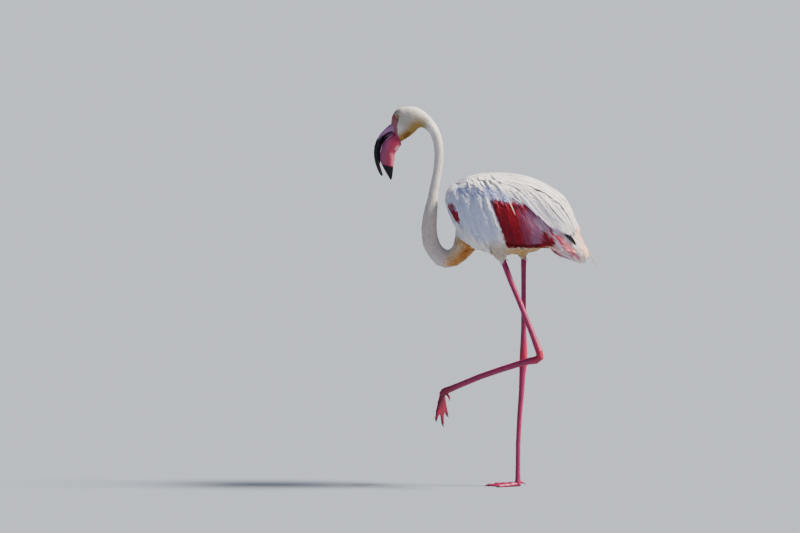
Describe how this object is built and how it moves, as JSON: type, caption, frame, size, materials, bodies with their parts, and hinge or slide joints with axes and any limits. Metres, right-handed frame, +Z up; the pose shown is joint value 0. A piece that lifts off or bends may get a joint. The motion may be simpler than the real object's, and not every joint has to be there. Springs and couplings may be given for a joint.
{
  "type": "greater flamingo",
  "caption": "Life-size greater flamingo in mid step, white with crimson wing coverts and a bent black-tipped bill, standing on its right leg with the left one raised.",
  "frame": {"origin": "on the floor, under the lower end of the standing (right) leg, in the bird's plane of symmetry", "axes": "+Z up, -X the way the bird faces, so -Y is the bird's left side"},
  "size_m": [0.581, 0.1997, 1.029],
  "materials": {
    "white_plumage": "matte",
    "blush_plumage": "matte",
    "bill_horn": "satin",
    "black_horn": "satin",
    "leg_skin": "satin",
    "eye": "glossy"
  },
  "bodies": {
    "root": {"head": "white_plumage", "neck_upper": "white_plumage", "neck_middle": "white_plumage", "neck_lower": "white_plumage", "trunk": "white_plumage", "tail": "white_plumage", "thigh_left": "white_plumage", "thigh_right": "white_plumage", "wing_left": "blush_plumage", "wing_right": "blush_plumage", "bill_upper": "bill_horn", "bill_lower": "bill_horn", "eye_left": "eye", "eye_right": "eye", "shank_left": "leg_skin", "shank_right": "leg_skin", "tarsus_left": "leg_skin", "tarsus_right": "leg_skin", "foot_left": "leg_skin", "foot_right": "leg_skin", "claw_inner_left": "black_horn", "claw_middle_left": "black_horn", "claw_outer_left": "black_horn", "claw_hind_left": "black_horn", "claw_inner_right": "black_horn", "claw_middle_right": "black_horn", "claw_outer_right": "black_horn", "claw_hind_right": "black_horn"}
  },
  "joints": []
}
